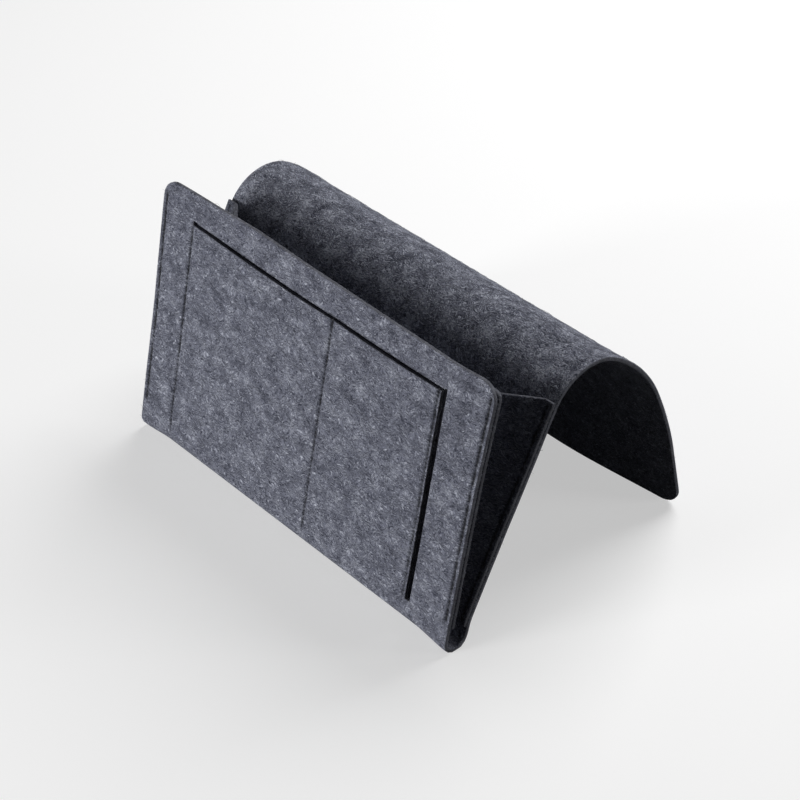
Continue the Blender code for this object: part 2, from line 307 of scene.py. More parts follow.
class MainSheet:
    """The main sheet's middle line in the sewing frame: straight runs and arcs from the rim to the flap."""

    def __init__(self):
        own = sizes("sheet")
        self.own = own
        half_felt = own.felt / 2
        self.wall_offset = own.felt + own.layer_gap + half_felt
        fold_centre = (own.fold_radius - self.wall_offset - half_felt) / math.sin(half_mouth)
        self.foot = fold_centre * math.cos(half_mouth)
        self.rim = self.foot - own.front_height
        self.runs = []
        self.end = self.rim
        self.place = (-self.wall_offset, own.front_height)
        self.heading = -math.pi / 2
        self.add(-self.rim, 0, 0)
        self.add_arc(own.fold_radius - half_felt, math.pi - mouth_angle)
        self.back_foot = self.end
        self.add(own.back_height - self.foot, 0, 0)
        self.crest = self.end
        self.add_arc(own.crest_radius, -own.crest_turn)
        self.shoulder = self.end
        self.add_arc(own.shoulder_radius, -own.shoulder_turn)
        self.flap = self.end
        self.add_arc(own.flap_radius, -own.flap_turn)
        self.add(own.flap_straight, 0, 0)
        self.lower_cut = (self.back_foot + self.crest) / 2

    def add(self, run_length, radius, side):
        self.runs.append((self.end, radius, side, self.place, self.heading))
        self.end += run_length
        y, z, heading = self.line(np.array([self.end]))
        self.place, self.heading = (y[0], z[0]), heading[0]

    def add_arc(self, radius, angle):
        self.add(radius * abs(angle), radius, math.copysign(1, angle))

    def line(self, along):
        """Place and heading of the middle line at each distance, counted from the front wall's foot."""
        y, z, heading = np.zeros_like(along), np.zeros_like(along), np.zeros_like(along)
        for index, (start, radius, side, place, first) in enumerate(self.runs):
            here = along >= start if index else np.full(along.shape, True)
            distance = along[here] - start
            if side:
                centre_y = place[0] - math.sin(first) * radius * side
                centre_z = place[1] + math.cos(first) * radius * side
                heading[here] = first + side * distance / radius
                y[here] = centre_y + np.sin(heading[here]) * radius * side
                z[here] = centre_z - np.cos(heading[here]) * radius * side
            else:
                heading[here] = first
                y[here] = place[0] + math.cos(first) * distance
                z[here] = place[1] + math.sin(first) * distance
        return y, z, heading

    def bend(self, flat):
        """Flat points (across, along, depth to the inside of the bag) to the folded sheet."""
        across, along, depth = flat.T
        y, z, heading = self.line(along)
        return to_world(np.stack([across, y - np.sin(heading) * depth, z + np.cos(heading) * depth], 1))

    def point(self, along):
        return Vector(self.bend(np.array([[0.0, along, 0.0]]))[0])

    def drape(self, across, along):
        """How far the felt hangs in from its plain shape: slack folds, leaning corners, a sag, slow waves."""
        own = self.own
        fold_middle = self.back_foot / 2
        lift_at, lift_reach = 0.7 * fold_middle, 0.9 * own.fold_radius
        slack_at, slack_reach = 2.2 * fold_middle, 1.1 * own.fold_radius
        near_end = smooth(np.abs(across), half_width - 4 * own.fold_radius, half_width)
        lift = own.fold_lift * bell(along, lift_at, lift_reach) * (1 - near_end)
        slack = (own.fold_slack + own.fold_flare * near_end) * bell(along, slack_at, slack_reach)
        up_front = smooth(-along, 0.3 * own.front_height, own.front_height - self.foot)
        near_corner = smooth(np.abs(across), half_width - 3 * own.rim_corner, half_width)
        lean = np.where(across > 0, own.right_lean, own.left_lean) * near_corner * up_front**2
        arch_middle = self.shoulder - own.crest_radius / 2
        sag = own.crest_sag * bell(along, arch_middle, own.crest_radius) * (1 - near_end)
        return lift - slack + lean - sag - self.droop(across, along) + self.waves(across, along)

    def droop(self, across, along):
        """How far the flap hangs in to the back wall, growing to its lower edge and from its right corner."""
        down, inwards = self.flap_shares(across, along)
        return self.own.flap_droop * down**1.5 * inwards

    def flap_shares(self, across, along):
        """How far down the flap each place lies, and how far from the right corner, which stands out."""
        droops_from, droops_fully = -0.07, 0.34
        down = np.clip((along - self.shoulder) / (self.end - self.shoulder), 0, 1)
        return down, smooth((half_width - across) / bag_width, droops_from, droops_fully)

    def waves(self, across, along):
        """Slow waves of the felt, none where it stands on the floor."""
        own = self.own
        ripple_rate, ripple_share = 3.1, 0.35
        rim_share, arch_loss = 0.35, 0.5
        places = np.stack([across, along], 1) / own.sway_period
        waves, ripples = [
            np.array([noise.noise(Vector((rate * x, rate * y, row))) for x, y in places])
            for rate, row in ((1.0, 1.0), (ripple_rate, 10.0))
        ]
        standing = sum(bell(along, at, own.fold_radius * 2) for at in (self.back_foot / 2, self.end))
        rim_hold = rim_share + (1 - rim_share) * smooth(along, self.rim, self.rim + own.front_height / 2)
        arch_hold = 1 - arch_loss * smooth(along, self.crest - own.crest_radius, self.crest)
        height = own.sway_height * rim_hold * arch_hold * np.clip(1 - standing, 0, 1)
        return height * (waves + ripple_share * ripples)

    def lay(self, flat, extra=0.0):
        """Flat points to the sheet as it hangs. extra is how much further inside a layer lies."""
        across, along, depth = flat.T
        down, inwards = self.flap_shares(across, along)
        tucked = along - self.own.flap_tuck * down**2 * inwards
        placed = self.bend(np.stack([across, tucked, depth + extra + self.drape(across, along)], 1))
        placed[:, 2] = np.maximum(placed[:, 2], self.own.stands_at)
        return placed

    def along_front(self, height):
        return self.foot - height

    def rim_drop(self, across):
        """How much lower than the front wall's height the rim is cut, less its slight crown."""
        slant_from, crown_at, crown_reach = -0.375, -0.4 * half_width, 0.2 * half_width
        share = np.clip((across / half_width - slant_from) / (1 - slant_from), 0, 1)
        return self.own.rim_slant * share**1.3 - self.own.rim_crown * bell(across, crown_at, crown_reach)

    def along_rear(self, height):
        return self.back_foot + height - self.foot


def smooth(value, low, high):
    share = np.clip((value - low) / (high - low), 0, 1)
    return share * share * (3 - 2 * share)


def bell(value, middle, reach):
    return np.exp(-(((value - middle) / reach) ** 2))


def rounded_corners(corners, spacing):
    """Points along a polygon whose corners (across, along, radius) are rounded, a spacing apart."""
    points = []
    for index, (across, along, radius) in enumerate(corners):
        here = Vector((across, along))
        before = (Vector(corners[index - 1][:2]) - here).normalized()
        after = (Vector(corners[(index + 1) % len(corners)][:2]) - here).normalized()
        if not radius:
            points.append(here)
            continue
        half = before.angle(after) / 2
        reach = radius / math.tan(half)
        centre = here + (before + after).normalized() * radius / math.sin(half)
        first, last = here + before * reach - centre, here + after * reach - centre
        sweep = math.atan2(first.x * last.y - first.y * last.x, first.dot(last))
        steps = max(3, round(abs(sweep) * radius / spacing))
        for step in range(steps + 1):
            points.append(centre + Matrix.Rotation(sweep * step / steps, 2) @ first)
    return spaced(points, spacing)


def spaced(points, spacing):
    """A closed polygon with points added so that none of its sides is longer than the spacing."""
    found = []
    for index, here in enumerate(points):
        there = points[(index + 1) % len(points)]
        count = max(1, math.ceil((there - here).length / spacing - 0.01))
        found += [here.lerp(there, step / count) for step in range(count)]
    return np.array([list(each) for each in found])


def inward_of(loop, butts):
    """Each point's direction into the felt and its miter, with no rounding along a butt joint."""
    following = np.roll(loop, -1, 0)
    step = following - loop
    step /= np.linalg.norm(step, axis=1)[:, None]
    inward = np.stack([-step[:, 1], step[:, 0]], 1)
    on_butt = np.zeros(len(loop), bool)
    for butt in butts:
        on_butt |= (np.abs(loop[:, 1] - butt) < same_place) & (np.abs(following[:, 1] - butt) < same_place)
    inward[on_butt] = 0
    before = np.roll(inward, 1, 0)
    total = inward + before
    size = np.linalg.norm(total, axis=1)
    normal = np.divide(total, size[:, None], out=np.zeros_like(total), where=size[:, None] > 0)
    lean = np.maximum((normal * inward).sum(1), (normal * before).sum(1))
    miter = np.where(size > 0, 1 / np.maximum(lean, 0.5), 0)
    return normal, miter


def run_on(loop, butts):
    """The loop with its butted sides moved far off, so that only real cut edges are near."""
    moved = loop.copy()
    for butt in butts:
        moved[np.abs(loop[:, 1] - butt) < same_place, 1] += math.copysign(bag_width, butt - loop[:, 1].mean())
    return moved


def distance_to(points, loops):
    """Each point's distance to the nearest side of the loops, and whether it is inside them."""
    near, inside = np.full(len(points), np.inf), np.zeros(len(points), bool)
    for loop in loops:
        following = np.roll(loop, -1, 0)
        for (ax, ay), (bx, by) in zip(loop, following):
            side = np.array([bx - ax, by - ay])
            along = np.clip(((points - (ax, ay)) @ side) / (side @ side), 0, 1)
            near = np.minimum(near, np.linalg.norm(points - (ax, ay) - along[:, None] * side, axis=1))
            if ay != by:
                crosses = (ay > points[:, 1]) != (by > points[:, 1])
                left_of = points[:, 0] < (bx - ax) * (points[:, 1] - ay) / (by - ay) + ax
                inside ^= crosses & left_of
    return near, inside


def arris_rings():
    """The rings of a felt's edge from face to face: inset, depth, and the depth where the edge is butted."""
    own = sizes("sheet")
    half, rounding, steps = own.felt / 2, own.cut_rounding, 3
    rings = []
    for side in (1, -1):
        for step in range(steps + 1)[::side]:
            angle = math.pi / 2 * (1 - step / steps)
            inset = rounding * (1 - math.cos(angle))
            rings.append((inset, side * (half - rounding * (1 - math.sin(angle))), side * half))
    return rings


def fill_face(loops, filling):
    """The sides of the loops and the triangles of the face between them, as indices of their points."""
    corners = [Vector(each) for each in np.concatenate(loops + [filling])]
    sides, start = [], 0
    for loop in loops:
        sides += [(start + index, start + (index + 1) % len(loop)) for index in range(len(loop))]
        start += len(loop)
    made, _, triangles, origins, _, _ = delaunay_2d_cdt(corners, sides, [], 0, 1e-9)
    triangles = np.array(triangles)
    source = np.array([origin[0] for origin in origins])
    middles = np.array([list(each) for each in made])[triangles].mean(1)
    return sides, source[triangles[distance_to(middles, loops)[1]]]


def felt_piece(name, loops, place, seams, sewn_side, rows=(), butts=(), bulge=None):
    """A closed piece of felt: loops cut flat, arrises rounded, faces filled and sewn, then laid in place.

    seams are lines (across, low, high, pull) pressed into the face on the sewn side, rows are distances along
    at which a bend needs closer points, and bulge(flat) gives how much each point's depth changes besides.
    """
    own = sizes("sheet")
    rounding = own.cut_rounding
    frames = [inward_of(loop, butts) for loop in loops]
    rings = arris_rings()
    inner = [loop + normal * (miter * rounding)[:, None] for loop, (normal, miter) in zip(loops, frames)]
    filling = face_points(inner, own.spacing, rows, seams)
    sides, triangles = fill_face(inner, filling)

    flat, cut = [], []
    for inset, depth, butted_depth in rings:
        for loop, (normal, miter) in zip(loops, frames):
            depths = np.where(miter > 0, depth, butted_depth)
            flat.append(np.column_stack([loop + normal * (miter * inset)[:, None], depths]))
            cut.append(np.where(miter > 0, 0.0 if inset > rounding / 2 else 1.0, 0.0))
    for side in (1, -1):
        flat.append(np.column_stack([filling, np.full(len(filling), side * own.felt / 2)]))
        cut.append(np.zeros(len(filling)))
    flat, cut = np.concatenate(flat), np.concatenate(cut)

    ring_size = len(sides)
    to_upper_fill = ring_size * (len(rings) - 1)
    on_outline = triangles < ring_size
    upper = np.where(on_outline, triangles, triangles + to_upper_fill)
    lower = triangles + to_upper_fill + np.where(on_outline, 0, len(filling))
    faces = upper.tolist() + lower[:, ::-1].tolist()
    for low in range(0, to_upper_fill, ring_size):
        high = low + ring_size
        faces += [(first + low, first + high, second + high, second + low) for first, second in sides]

    marks = flat.copy()
    from_cut = np.where(cut > 0, 0, distance_to(flat[:, :2], [run_on(loop, butts) for loop in loops])[0])
    # inner_face marks the inner face, where the marl gets its painted relief light and shade.
    inner_face = (flat[:, 2] > 0).astype(float)
    press = seam_press(flat, seams, sewn_side)
    flat[:, 2] += press + (bulge(flat) if bulge else 0)
    # sewn is how deep a seam presses each point. It is the mask of the groove darkening, which is partly
    # darker pressed felt and partly painted shade.
    sewn = np.minimum(np.abs(press) / sizes("seam").groove_depth, 1)
    shares = {"cut_edge": cut, "from_cut": from_cut, "sewn": sewn, "inner_face": inner_face}
    return new_piece(name, place(flat), faces, marks, shares)


def face_points(inner, spacing, rows, seams):
    """Points that fill a felt face: an even grid, closer rows at the bends, and closer points along seams."""
    outline = np.concatenate(inner)
    low, high = outline.min(0), outline.max(0)
    across = np.linspace(low[0], high[0], max(2, round((high[0] - low[0]) / spacing)) + 1)
    along = np.linspace(low[1], high[1], max(2, round((high[1] - low[1]) / spacing)) + 1)
    for row in rows:
        along = along[np.abs(along - row) > spacing / 3]
    along = np.unique(np.concatenate([along, np.array(rows)])) if len(rows) else along
    grid = np.array(np.meshgrid(across, along)).reshape(2, -1).T
    own = sizes("seam")
    points_per_stitch = 4
    beside = np.array([-2.6, -1.7, -0.9, -0.4, 0, 0.4, 0.9, 1.7, 2.6]) * own.groove_width
    extra = []
    for seam_across, seam_low, seam_high, _ in seams:
        clear = np.abs(grid[:, 0] - seam_across) > beside[-1] + spacing / 3
        clear |= (grid[:, 1] < seam_low - spacing / 2) | (grid[:, 1] > seam_high + spacing / 2)
        grid = grid[clear]
        count = max(2, round((seam_high - seam_low) / own.stitch) * points_per_stitch)
        steps = np.linspace(seam_low, seam_high, count + 1)
        extra.append(np.array(np.meshgrid(seam_across + beside, steps)).reshape(2, -1).T)
    points = np.concatenate([grid] + extra)
    near, inside = distance_to(points, inner)
    return points[inside & (near > min(spacing, 2 * own.groove_width) / 3)]


def add_object(name, data):
    made = bpy.data.objects.new(name, data)
    bpy.context.scene.collection.objects.link(made)
    return made


def new_piece(name, points, faces, marks, shares):
    """An object of these faces, with the flat cut's places and what the finish needs kept as attributes."""
    sharp = math.radians(60)
    mesh = bpy.data.meshes.new(name)
    mesh.from_pydata([tuple(each) for each in points], [], faces)
    mesh.attributes.new("flat_cut", "FLOAT_VECTOR", "POINT").data.foreach_set("vector", marks.ravel())
    for label, values in shares.items():
        mesh.attributes.new(label, "FLOAT", "POINT").data.foreach_set("value", values)
    shape = bmesh.new()
    shape.from_mesh(mesh)
    bmesh.ops.remove_doubles(shape, verts=shape.verts, dist=same_place)
    bmesh.ops.dissolve_degenerate(shape, edges=shape.edges, dist=1e-8)
    bmesh.ops.recalc_face_normals(shape, faces=shape.faces)
    for edge in shape.edges:
        edge.smooth = edge.calc_face_angle(0) < sharp
    shape.to_mesh(mesh)
    shape.free()
    mesh.shade_smooth()
    return add_object(name, mesh)


def uneven_pull(along, seam_across, pull, near):
    """How hard a seam pulls at each point near it: some stitches sink in, others lie under the felt's nap."""
    own = sizes("seam")
    least, most = 0.25, 1.1
    noise_row = 100 * seam_across
    noise_period = 1.5 * own.stitch
    uneven = [noise.noise(Vector((each / noise_period, noise_row, 3.0))) for each in along[near]]
    found = np.ones(len(along))
    found[near] = np.clip(pull[near] * (1 + own.unevenness * np.array(uneven)), least, most)
    return found


def seam_press(flat, seams, sewn_side):
    """How deep seams press each point of the sewn face in, towards the felt's middle."""
    own = sizes("seam")
    groove_reach = 4 * own.groove_width
    press = np.zeros(len(flat))
    for seam_across, low, high, pull in seams:
        count = max(1, round((high - low) / own.stitch))
        pitch = (high - low) / count
        beyond = np.maximum(np.maximum(low - flat[:, 1], flat[:, 1] - high), 0)
        off = np.abs(flat[:, 0] - seam_across)
        groove = own.groove_depth * bell(off, 0, own.groove_width) * bell(beyond, 0, own.groove_width)
        near_foot = np.clip((flat[:, 1] - low) / (high - low), 0, 1)
        firm = pull - (1 - pull) * near_foot
        groove *= uneven_pull(flat[:, 1], seam_across, firm, off < groove_reach)
        to_hole = np.abs((flat[:, 1] - low) / pitch % 1 - 0.5) * pitch
        from_hole = np.hypot(off, np.hypot(to_hole, beyond))
        press = np.maximum(press, groove + own.hole_depth * bell(from_hole, 0, own.hole_radius))
    return np.where(np.sign(flat[:, 2]) == sewn_side, -sewn_side * press, 0)


def put(tree, socket, value):
    """Links an output into an input, or sets the input to a plain value."""
    if isinstance(value, bpy.types.NodeSocket):
        tree.links.new(value, socket)
    else:
        socket.default_value = value


def set_inputs(tree, node, **values):
    """Links or sets a node's inputs. Their names are written with underscores for spaces."""
    for name, value in values.items():
        put(tree, node.inputs[name.replace("_", " ")], value)


def add_node(tree, kind, *inputs, **values):
    """A node with its properties set, and its inputs by order or by name."""
    node = tree.nodes.new(kind)
    properties = {name: value for name, value in values.items() if hasattr(node, name)}
    for name, value in properties.items():
        setattr(node, name, value)
    for socket, value in zip(node.inputs, inputs):
        put(tree, socket, value)
    set_inputs(tree, node, **{name: value for name, value in values.items() if name not in properties})
    return node


def new_material(name):
    material = bpy.data.materials.new(name)
    material.use_nodes = True
    return material, material.node_tree, material.node_tree.nodes["Principled BSDF"]


def mix(tree, factor, first, second, blend="MIX"):
    """A colour mix. Each input is a socket or a plain value."""
    node = add_node(tree, "ShaderNodeMix", data_type="RGBA", blend_type=blend)
    for index, value in ((0, factor), (6, first), (7, second)):
        put(tree, node.inputs[index], value)
    return node.outputs[2]


def calculate(tree, operation, *terms):
    """A sum, product or the like of sockets or numbers."""
    return add_node(tree, "ShaderNodeMath", *terms, operation=operation).outputs[0]


def spread(tree, value, low, high, to_low=0.0, to_high=1.0):
    """A value stretched from one range to another, smoothly."""
    limits = {"From_Min": low, "From_Max": high, "To_Min": to_low, "To_Max": to_high}
    node = add_node(tree, "ShaderNodeMapRange", interpolation_type="SMOOTHSTEP", Value=value, **limits)
    return node.outputs["Result"]


def cloud(tree, place, period, detail, distortion=0.0):
    """Noise of a given period."""
    look = {"Scale": 1 / period, "Detail": detail, "Roughness": 0.6, "Distortion": distortion}
    return add_node(tree, "ShaderNodeTexNoise", Vector=place, **look)


def tufts(tree, place, degrees, seed):
    """Stretched noise that runs one way, like tufts of felted fibres."""
    own = sizes("felt")
    width = own.fibre_width
    turned = add_node(tree, "ShaderNodeMapping", Vector=place, Location=(seed, 2 * seed, 3 * seed))
    turning = (0, 0, math.radians(degrees))
    set_inputs(tree, turned, Rotation=turning, Scale=(1 / (width * own.fibre_stretch), 1 / width, 1 / width))
    return cloud(tree, turned.outputs["Vector"], 1.0, 2.5, 0.6).outputs["Fac"]


def felt_material(name, shade, inner_painted_relief_shade=0.0):
    """Needled marl felt: dark, middle and pale fibres in tufts that run every way, denser along cut edges."""
    own = sizes("felt")
    material, tree, shader = new_material(name)
    flat, cut, sewn, inner_face = [
        add_node(tree, "ShaderNodeAttribute", attribute_name=label).outputs
        for label in ("flat_cut", "cut_edge", "sewn", "inner_face")
    ]

    def from_half(value, weight):
        return calculate(tree, "MULTIPLY", calculate(tree, "SUBTRACT", value, 0.5), weight)

    wander = cloud(tree, flat["Vector"], 9 * own.fibre_width, 1.0).outputs["Color"]
    centred = add_node(tree, "ShaderNodeVectorMath", wander, (0.5, 0.5, 0.5), operation="SUBTRACT").outputs[0]
    moved = add_node(tree, "ShaderNodeVectorMath", centred, operation="SCALE", Scale=2 * own.curl).outputs[0]
    place = add_node(tree, "ShaderNodeVectorMath", flat["Vector"], moved, operation="ADD").outputs[0]

    pale_ways, dark_ways = ((15, 0.1), (105, 0.4)), ((60, 0.7), (150, 0.9))
    pale_tufts, dark_tufts = [
        spread(tree, calculate(tree, "MAXIMUM", *[tufts(tree, place, *way) for way in ways]), 0.50, 0.72)
        for ways in (pale_ways, dark_ways)
    ]
    fine = cloud(tree, place, own.fibre_width / 1.6, 2.0).outputs["Fac"]
    clouds = cloud(tree, flat["Vector"], own.cloud, 3.0).outputs["Fac"]

    heap = calculate(tree, "SUBTRACT", pale_tufts, dark_tufts)
    body = calculate(tree, "MULTIPLY", heap, own.tuft_weight)
    body = calculate(tree, "ADD", body, from_half(fine, own.fine_weight))
    body = calculate(tree, "ADD", body, from_half(clouds, own.cloud_weight))
    # Painted light and shade: a bolder marl on the inner face stands in for the relief's light and shade
    # under grazing light.
    contrast = calculate(tree, "MULTIPLY_ADD", inner_face["Fac"], inner_painted_relief_shade, 1.0)
    body = calculate(tree, "MULTIPLY_ADD", body, contrast, 0.5)
    wool = mix(tree, spread(tree, body, 0.05, 0.55), (*own.dark, 1), (*own.middle, 1))
    wool = mix(tree, spread(tree, body, 0.50, 1.05), wool, (*own.pale, 1))
    edge = mix(tree, spread(tree, fine, 0.3, 0.7, 0.0, 0.35), (*own.cut, 1), (*own.dark, 1))
    wool = mix(tree, calculate(tree, "MULTIPLY", cut["Fac"], own.cut_share), wool, edge)
    # Groove darkening along the seams: partly the darker pressed felt, partly painted shade for the shadow
    # that falls in the groove.
    groove = calculate(tree, "MULTIPLY", sewn["Fac"], sizes("seam").shade)
    wool = mix(tree, groove, wool, (*[own.groove_compression_and_shade_tone * channel for channel in own.dark], 1))
    wool = mix(tree, 1.0, wool, (shade, shade, shade, 1), "MULTIPLY")

    height = calculate(tree, "ADD", heap, calculate(tree, "MULTIPLY", fine, 1.2))
    bump = add_node(tree, "ShaderNodeBump", Strength=0.8, Distance=own.relief, Height=height)
    set_inputs(tree, shader, Base_Color=wool, Normal=bump.outputs["Normal"], Roughness=0.95)
    set_inputs(tree, shader, Specular_IOR_Level=0.12, Sheen_Weight=0.12, Sheen_Roughness=0.30)
    return material


def strand_material(name, tone, dark_share, period, detail, roughness, sheen):
    """Thread or a loose fibre, darker here and there along it."""
    material, tree, shader = new_material(name)
    places = add_node(tree, "ShaderNodeTexCoord").outputs["Object"]
    grain = spread(tree, cloud(tree, places, period, detail).outputs["Fac"], 0.35, 0.65)
    dark = (*[dark_share * channel for channel in tone], 1)
    set_inputs(tree, shader, Base_Color=mix(tree, grain, dark, (*tone, 1)))
    set_inputs(tree, shader, Roughness=roughness, Sheen_Weight=sheen)
    return material


def slit_height(across):
    """Height of the slit's middle beside a seam: it runs a little higher towards its left end."""
    own = sizes("pocket")
    rise_from, rise_to, level_share = -0.8, 0.06, 0.83
    to_right = smooth(across, rise_from * half_width, rise_to * half_width)
    return sizes("sheet").front_height - own.slit_below_rim + own.slit_rise * (level_share - to_right)


def cut_places():
    """Places across the bag: the slit's left end, the middle seam, and the cable slot's two sides."""
    own = sizes("pocket")
    slot_right = half_width - own.slot_inset
    return own.left_seam - half_width, own.middle_seam - half_width, slot_right - own.slot_width, slot_right


def pocket_seams(sheet):
    """Seams of the pockets on the front wall: across, low and high along, and how hard they pull."""
    own = sizes("pocket")
    below_slit = 0.55 * own.slit_at_seams
    left, middle, slot_left, _ = cut_places()
    places = {
        "left_pocket_seam": (left, own.seam_foot),
        "middle_pocket_seam": (middle, own.seam_foot),
        "slot_seam": (slot_left - own.slot_seam_gap, own.slot_foot),
    }
    found = {}
    for name, (across, foot) in places.items():
        top = sheet.along_front(slit_height(across) - below_slit)
        found[name] = (across, top, sheet.along_front(foot), sizes("seam").pocket_pull)
    return found


def edge_seams(height_to_along, top):
    """Seams along a wall's two ends that hold the gussets: across, low and high along, and their pull."""
    own = sizes("gusset")
    low, high = sorted((height_to_along(own.foot + own.foot_slant / 2), height_to_along(top - own.edge_seam)))
    return [(end * (half_width - own.edge_seam), low, high, 1.0) for end in (-1, 1)]


def front_edge_seams(sheet):
    return edge_seams(sheet.along_front, sizes("sheet").front_height - sizes("gusset").front_below_rim)


def rear_edge_seams(sheet):
    return edge_seams(sheet.along_rear, sizes("gusset").rear_top - sizes("gusset").edge_seam)


def slit_loop(sheet, spacing):
    """The L-shaped cut: a slit that gapes between the seams, and the cable slot down its right end."""
    own = sizes("pocket")
    left, middle, slot_left, slot_right = cut_places()
    half_slit = own.slit_at_seams / 2
    upper_points = 30
    edge = []
    for start, end in ((left, middle), (middle, slot_left)):
        steps = round((end - start) / spacing)
        for step in range(steps):
            share = step / steps
            drop = half_slit + (own.slit_between - own.slit_at_seams) * math.sin(math.pi * share)
            across = start + (end - start) * share
            edge.append((across, slit_height(across) - drop))
    edge.append((slot_left, slit_height(slot_left) - half_slit))
    edge += [(slot_left, own.slot_foot), (slot_right, own.slot_foot)]
    for across in np.linspace(slot_right, left, upper_points):
        edge.append((across, slit_height(across) + half_slit))
    return spaced([Vector((across, sheet.along_front(height))) for across, height in edge], spacing)


def pocket_bow(sheet, flat):
    """How far the pockets' upper edge bows out of the front wall: most midway between seams, none at them."""
    own = sizes("sheet")
    seams = [each[0] for each in pocket_seams(sheet).values()]
    below = flat[:, 1] - sheet.along_front(slit_height(flat[:, 0]))
    reach = own.front_height / 4
    fade = np.where(below > 0, np.clip(1 - below / reach, 0, 1) ** 2, 0)
    bow = np.zeros(len(flat))
    for left, right in zip(seams, seams[1:]):
        share = np.clip((flat[:, 0] - left) / (right - left), 0, 1)
        bow += np.sin(math.pi * share)
    return -own.pocket_bow * bow * fade


def join_rows(at):
    """Closer rows beside a butt joint of the main sheet, so that its shading runs on."""
    return [at + side * sizes("sheet").spacing * share for side in (-1, 1) for share in (0.12, 0.4)]


def main_sheet_parts(sheet):
    """The main sheet's three butted pieces, one for each bend: name, low and high along, CAD nodes."""
    return (
        ("front_and_fold", sheet.rim, sheet.lower_cut, ("front_wall",)),
        ("back_and_crest", sheet.lower_cut, sheet.shoulder, ("back_wall",)),
        ("shoulder_and_flap", sheet.shoulder, sheet.end, ("arch", "flap")),
    )


def main_sheet_piece(sheet, name, low, high):
    """One of the main sheet's pieces, cut, sewn and laid in place."""
    own = sizes("sheet")
    fold_steps = 14
    rim_shares = (-0.8, -0.65, -0.53, -0.4, -0.27, -0.1, 0.15, 0.4, 0.65, 0.85)
    rim_places = [share * half_width for share in rim_shares]
    loops = []
    low_radius, high_radius, right_low, rim = 0, 0, low, []
    if low == sheet.rim:
        low_radius = own.rim_corner
        right_low += own.rim_slant
        rim = [(across, low + sheet.rim_drop(across), 0) for across in rim_places]
        loops.append(slit_loop(sheet, own.spacing))
    if high == sheet.end:
        high_radius = own.flap_corner
    corners = [(-half_width, low, low_radius), *rim, (half_width, right_low, low_radius)]
    corners += [(half_width, high, high_radius), (-half_width, high, high_radius)]
    loops.insert(0, rounded_corners(corners, own.spacing))
    seams = [*pocket_seams(sheet).values(), *front_edge_seams(sheet), *rear_edge_seams(sheet)]
    seams = [each for each in seams if low < each[1] < high or low < each[2] < high]
    butts = [each for each in (sheet.lower_cut, sheet.shoulder) if each in (low, high)]
    rows = [*np.linspace(0, sheet.back_foot, fold_steps + 1), *sum([join_rows(each) for each in butts], [])]
    rows = [row for row in rows if low < row < high]
    return felt_piece(name, loops, sheet.lay, seams, -1, rows, butts, lambda flat: pocket_bow(sheet, flat))


def main_sheet_spans(sheet):
    """The joint that each piece of the main sheet bends across: two bodies, and its bend's start and end."""
    own = sizes("sheet")
    up = (front_up + rear_up).normalized()
    rearward = up.cross(bag_right)
    fold_middle = fold_meeting + up * (own.fold_radius / math.tan(half_mouth) / 4)
    half_bend = rearward * own.fold_radius * 0.75
    inset = own.spacing * 1.5
    crest, shoulder = sheet.point(sheet.crest + inset), sheet.point(sheet.shoulder - inset)
    return {
        "front_and_fold": ("front_wall", "back_wall", fold_middle - half_bend, fold_middle + half_bend),
        "back_and_crest": ("back_wall", "arch", crest, shoulder),
        "shoulder_and_flap": ("arch", "flap", sheet.point(sheet.shoulder + inset), sheet.point(sheet.flap)),
    }


def blend_over(piece, span):
    """Bakes a piece's transform into its mesh; it does not bend the piece. The span, its two bodies and where
    the bend starts and ends, is not used.
    """
    first, second, start, end = span
    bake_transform(piece)
    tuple(start)
    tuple(end)


class MakeMainSheet(bpy.types.Operator):
    """Makes the front wall, bottom fold, back wall, arch and flap"""

    bl_idname = "felt_bag.main_sheet"
    bl_label = "Main Sheet"

    def execute(self, context):
        sheet = MainSheet()
        spans = main_sheet_spans(sheet)
        felt = felt_material("main_felt_marl", 1.0, sizes("felt").inner_painted_relief_shade)
        own, pocket = sizes("sheet"), sizes("pocket")
        for name, low, high, nodes in main_sheet_parts(sheet):
            piece = main_sheet_piece(sheet, name, low, high)
            piece.data.materials.append(felt)
            blend_over(piece, spans[name])
            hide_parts(*nodes)
        return {"FINISHED"}


class MakePocketBacking(bpy.types.Operator):
    """Makes the felt sheet that is sewn behind the front wall"""

    bl_idname = "felt_bag.pocket_backing"
    bl_label = "Pocket Backing"

    def execute(self, context):
        sheet = MainSheet()
        own, pocket = sizes("sheet"), sizes("pocket")
        left_seam, _, right, _ = cut_places()
        left = left_seam - pocket.backing_beyond_seam
        low = sheet.along_front(own.front_height - pocket.slit_below_rim + pocket.backing_above_slit)
        high = sheet.along_front(pocket.backing_foot)
        corners = [(left, low, 0), (right, low, 0), (right, high, 0), (left, high, 0)]
        layer = own.felt + own.layer_gap
        loops = [rounded_corners(corners, own.spacing)]
        seams = list(pocket_seams(sheet).values())
        piece = felt_piece("pocket_backing_sheet", loops, lambda flat: sheet.lay(flat, layer), seams, 1)
        piece.data.materials.append(felt_material("backing_felt_marl", 0.92))
        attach(piece, "front_wall")
        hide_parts("pocket_backing")
        return {"FINISHED"}


